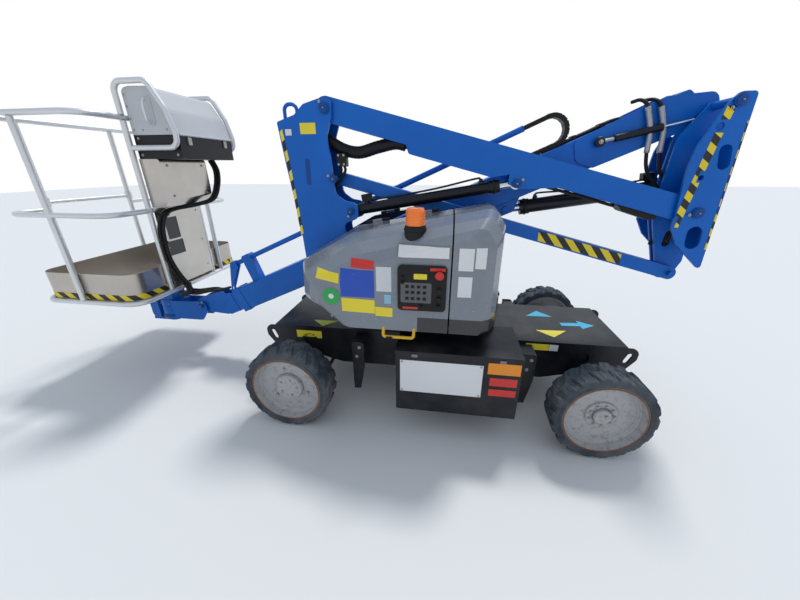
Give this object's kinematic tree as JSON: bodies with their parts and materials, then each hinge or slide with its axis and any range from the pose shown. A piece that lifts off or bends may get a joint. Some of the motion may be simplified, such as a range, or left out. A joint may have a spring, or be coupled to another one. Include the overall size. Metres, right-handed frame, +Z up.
{
  "type": "articulating boom lift",
  "caption": "Electric articulating boom lift, stowed: two side-by-side boom columns on a slewing base, telescopic upper boom and railed work platform.",
  "frame": {"origin": "on the floor under the slew axis, midway between the axles", "axes": "+Z up, -X towards the steered front and the stowed platform, -Y the side of the ground controls"},
  "size_m": [4.4341, 1.47, 2.1001],
  "materials": {
    "blue_paint": "gloss enamel, sun-faded and scuffed",
    "black_paint": "satin black enamel",
    "grey_cover": "moulded grey cover",
    "aluminium_tube": "bare welded tube",
    "stainless": "brushed sheet",
    "chrome_rod": "hard chrome",
    "bare_steel": "oiled",
    "black_plastic": "matt",
    "amber_lens": "clear amber",
    "yellow_handle": "moulded",
    "tyre_rubber": "dusty solid rubber",
    "rim_paint": "grey, rust at the rim edge"
  },
  "bodies": {
    "chassis": {"chassis_frame": "black_paint", "frame_brackets": "black_paint", "battery_box_near": "black_paint", "battery_box_far": "black_paint", "slew_ring": "bare_steel", "front_axle": "black_paint", "rear_axle": "black_paint"},
    "knuckle_near": {"knuckle_near": "black_paint"},
    "knuckle_far": {"knuckle_far": "black_paint"},
    "tie_rod": {"tie_rod": "black_paint"},
    "turntable": {"turntable_base": "black_paint", "hydraulic_unit": "black_paint", "riser": "blue_paint", "lifting_hoop": "blue_paint", "cover_rear_near": "grey_cover", "cover_rear_far": "grey_cover"},
    "cover_near": {"cover_front_near": "grey_cover", "control_panel": "black_plastic", "beacon_lamp": "amber_lens", "beacon_base": "black_plastic", "cover_latch": "yellow_handle"},
    "cover_far": {"cover_front_far": "grey_cover"},
    "secondary_arm": {"secondary_boom": "blue_paint"},
    "lower_link": {"lower_link": "blue_paint"},
    "mast": {"mast": "blue_paint"},
    "secondary_cylinder": {"secondary_cylinder": "black_paint"},
    "secondary_rod": {"secondary_rod": "chrome_rod"},
    "primary_arm": {"primary_boom": "blue_paint", "carrier_guide": "blue_paint", "energy_chain": "black_plastic"},
    "primary_cylinder": {"primary_cylinder": "black_paint"},
    "primary_rod": {"primary_rod": "chrome_rod"},
    "extension": {"extension_boom": "blue_paint", "hose_carrier": "blue_paint"},
    "level_arm": {"level_bracket": "blue_paint"},
    "platform": {"platform_yoke": "blue_paint", "platform_rails": "aluminium_tube", "platform_posts": "aluminium_tube", "platform_mid_rails": "aluminium_tube", "console_hoops": "aluminium_tube", "platform_floor_tray": "aluminium_tube", "console_box": "black_paint", "console_cabinet": "stainless", "console_panel": "stainless"},
    "entry_bar": {"entry_bar": "aluminium_tube"},
    "console_lid": {"console_lid": "grey_cover"},
    "wheel_front_near": {"tyre_front_near": "tyre_rubber", "rim_front_near": "rim_paint"},
    "wheel_front_far": {"tyre_front_far": "tyre_rubber", "rim_front_far": "rim_paint"},
    "wheel_rear_near": {"tyre_rear_near": "tyre_rubber", "rim_rear_near": "rim_paint"},
    "wheel_rear_far": {"tyre_rear_far": "tyre_rubber", "rim_rear_far": "rim_paint"}
  },
  "joints": [
    {"name": "steer_near", "type": "hinge", "parent": "chassis", "child": "knuckle_near", "pos_m": [-0.94, -0.49, 0.28], "axis": [0, 0, 1], "range_deg": [-38, 38]},
    {"name": "steer_far", "type": "hinge", "parent": "chassis", "child": "knuckle_far", "pos_m": [-0.94, 0.49, 0.28], "axis": [0, 0, 1], "range_deg": [-38, 38]},
    {"name": "tie_rod_turn", "type": "hinge", "parent": "knuckle_near", "child": "tie_rod", "pos_m": [-0.79, -0.49, 0.238], "axis": [0, 0, 1], "range_deg": [-38, 38]},
    {"name": "wheel_front_near_spin", "type": "hinge", "parent": "knuckle_near", "child": "wheel_front_near", "pos_m": [-0.94, -0.645, 0.28], "axis": [0, 1, 0], "continuous": true},
    {"name": "wheel_front_far_spin", "type": "hinge", "parent": "knuckle_far", "child": "wheel_front_far", "pos_m": [-0.94, 0.645, 0.28], "axis": [0, 1, 0], "continuous": true},
    {"name": "wheel_rear_near_spin", "type": "hinge", "parent": "chassis", "child": "wheel_rear_near", "pos_m": [0.94, -0.645, 0.28], "axis": [0, 1, 0], "continuous": true},
    {"name": "wheel_rear_far_spin", "type": "hinge", "parent": "chassis", "child": "wheel_rear_far", "pos_m": [0.94, 0.645, 0.28], "axis": [0, 1, 0], "continuous": true},
    {"name": "slew", "type": "hinge", "parent": "chassis", "child": "turntable", "pos_m": [0, 0, 0.632], "axis": [0, 0, 1], "range_deg": [-177.5, 177.5]},
    {"name": "cover_near_lift", "type": "hinge", "parent": "turntable", "child": "cover_near", "pos_m": [-0.26759, -0.24, 1.3073], "axis": [-0.9828, 0, -0.1846], "range_deg": [0, 60]},
    {"name": "cover_far_lift", "type": "hinge", "parent": "turntable", "child": "cover_far", "pos_m": [-0.26759, 0.24, 1.3073], "axis": [0.9828, 0, 0.1846], "range_deg": [0, 60]},
    {"name": "secondary_lift", "type": "hinge", "parent": "turntable", "child": "secondary_arm", "pos_m": [-0.732, -0.105, 1.905], "axis": [0, -1, 0], "range_deg": [0, 74.7]},
    {"name": "link_lift", "type": "hinge", "parent": "turntable", "child": "lower_link", "pos_m": [-0.707, -0.105, 1.519], "axis": [0, -1, 0], "range_deg": [0, 74.7]},
    {"name": "mast_level", "type": "hinge", "parent": "secondary_arm", "child": "mast", "pos_m": [1.40082, -0.105, 1.34546], "axis": [0, -1, 0], "range_deg": [-74.7, 0]},
    {"name": "secondary_cylinder_turn", "type": "hinge", "parent": "turntable", "child": "secondary_cylinder", "pos_m": [-0.606, -0.105, 1.322], "axis": [0, -1, 0], "range_deg": [0, 60.41]},
    {"name": "secondary_rod_slide", "type": "slide", "parent": "secondary_cylinder", "child": "secondary_rod", "axis": [0.9857, 0, 0.1683], "range_m": [0, 0.64581]},
    {"name": "primary_lift", "type": "hinge", "parent": "mast", "child": "primary_arm", "pos_m": [1.42083, 0.105, 1.89046], "axis": [0, 1, 0], "range_deg": [0, 98.5]},
    {"name": "primary_cylinder_turn", "type": "hinge", "parent": "mast", "child": "primary_cylinder", "pos_m": [1.36082, 0.105, 1.47046], "axis": [0, 1, 0], "range_deg": [0, 85.86]},
    {"name": "primary_rod_slide", "type": "slide", "parent": "primary_cylinder", "child": "primary_rod", "axis": [-0.9873, 0, -0.1591], "range_m": [0, 0.58301]},
    {"name": "boom_extend", "type": "slide", "parent": "primary_arm", "child": "extension", "axis": [-0.9135, 0, -0.4067], "range_m": [0, 1.2]},
    {"name": "platform_level", "type": "hinge", "parent": "extension", "child": "level_arm", "pos_m": [-2.06921, 0.105, 0.47015], "axis": [0, 1, 0], "range_deg": [-98.5, 0]},
    {"name": "platform_turn", "type": "hinge", "parent": "level_arm", "child": "platform", "pos_m": [-2.41421, 0.105, 0.53015], "axis": [0, 0, 1], "range_deg": [-90, 90]},
    {"name": "entry_bar_lift", "type": "slide", "parent": "platform", "child": "entry_bar", "axis": [0, 0, 1], "range_m": [0, 0.3]},
    {"name": "console_lid_open", "type": "hinge", "parent": "platform", "child": "console_lid", "pos_m": [-1.73491, 0.105, 1.78545], "axis": [0, 1, 0], "range_deg": [0, 110]}
  ],
  "couplings": [
    {"joint": "steer_far", "follows": "steer_near", "ratio": 1},
    {"joint": "tie_rod_turn", "follows": "steer_near", "ratio": -1},
    {"joint": "link_lift", "follows": "secondary_lift", "ratio": 1},
    {"joint": "mast_level", "follows": "secondary_lift", "ratio": -1},
    {"joint": "secondary_cylinder_turn", "follows": "secondary_lift", "ratio": 0.80865},
    {"joint": "secondary_rod_slide", "follows": "secondary_lift", "m_per_rad": 0.49534},
    {"joint": "primary_cylinder_turn", "follows": "primary_lift", "ratio": 0.87172},
    {"joint": "primary_rod_slide", "follows": "primary_lift", "m_per_rad": 0.33913},
    {"joint": "platform_level", "follows": "primary_lift", "ratio": -1}
  ]
}
